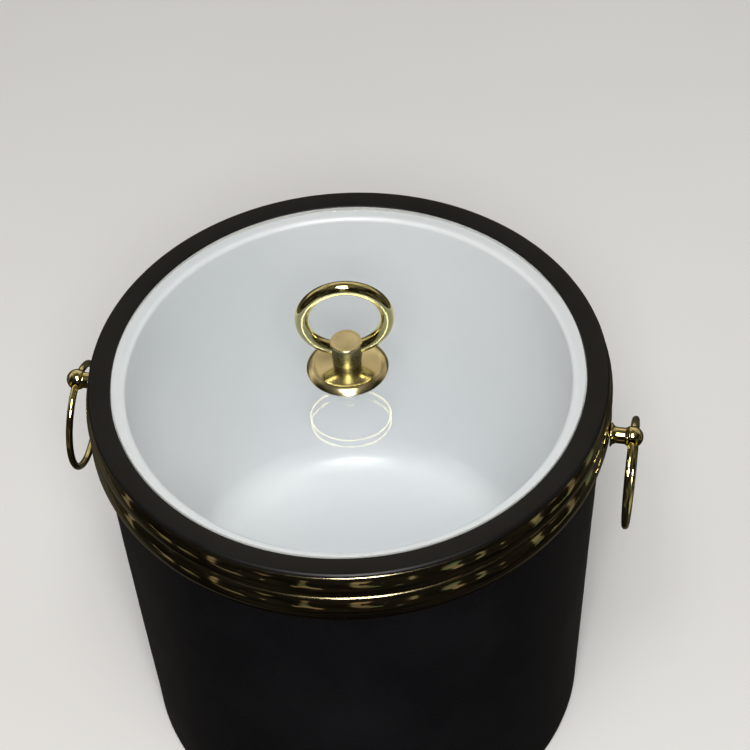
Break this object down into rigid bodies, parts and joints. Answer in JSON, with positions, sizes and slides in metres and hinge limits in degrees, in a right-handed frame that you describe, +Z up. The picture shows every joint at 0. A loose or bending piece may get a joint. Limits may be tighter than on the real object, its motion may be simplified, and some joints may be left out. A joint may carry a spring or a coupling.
{
  "type": "ice bucket",
  "caption": "Insulated tapered ice bucket with a black vinyl cover, white plastic liner, brass bands, hanging ring handles and a clear drop-in lid with a brass ring knob.",
  "frame": {"origin": "centre of the foot ring, on the table plane", "axes": "+Z up the bucket's axis, X through the two handles, +Y towards the back, where the sheet seams are"},
  "size_m": [0.2284, 0.2035, 0.2339],
  "materials": {
    "liner_plastic": "glossy moulded white plastic",
    "foam": "white bead foam",
    "fibreboard": "plain brown fibreboard",
    "black_vinyl": "black leather-look vinyl with a fine grain and a soft satin sheen",
    "black_plastic": "satin black moulded plastic",
    "brass": "polished brass, slightly aged",
    "steel": "zinc-plated steel",
    "clear_acrylic": "clear polished acrylic"
  },
  "bodies": {
    "bucket": {"liner": "liner_plastic", "foam_sleeve": "foam", "foam_floor": "foam", "shell_board": "fibreboard", "vinyl_cover": "black_vinyl", "base_board": "fibreboard", "base_cover": "black_plastic", "base_screws": "steel", "rim_ring": "black_plastic", "upper_band": "brass", "lower_band": "brass", "band_pins": "brass", "left_handle_post": "brass", "left_handle_washer": "steel", "left_handle_nut": "steel", "right_handle_post": "brass", "right_handle_washer": "steel", "right_handle_nut": "steel"},
    "left_ring": {"left_handle_ring": "brass"},
    "right_ring": {"right_handle_ring": "brass"},
    "lid": {"lid_disc": "clear_acrylic"},
    "knob": {"knob_base": "brass", "knob_post": "brass", "knob_ring": "brass", "knob_screw": "steel", "knob_washer": "steel"}
  },
  "joints": [
    {"name": "lid_lift", "type": "slide", "parent": "bucket", "child": "lid", "axis": [0, 0, 1], "range_m": [0, 0.12]},
    {"name": "knob_spin", "type": "hinge", "parent": "lid", "child": "knob", "pos_m": [0, 0, 0.1886], "axis": [0, 0, 1], "continuous": true},
    {"name": "left_ring_swing", "type": "hinge", "parent": "bucket", "child": "left_ring", "pos_m": [-0.11, 0, 0.165], "axis": [0, 1, 0], "range_deg": [-16, 205]},
    {"name": "right_ring_swing", "type": "hinge", "parent": "bucket", "child": "right_ring", "pos_m": [0.11, 0, 0.165], "axis": [0, -1, 0], "range_deg": [-16, 205]}
  ]
}
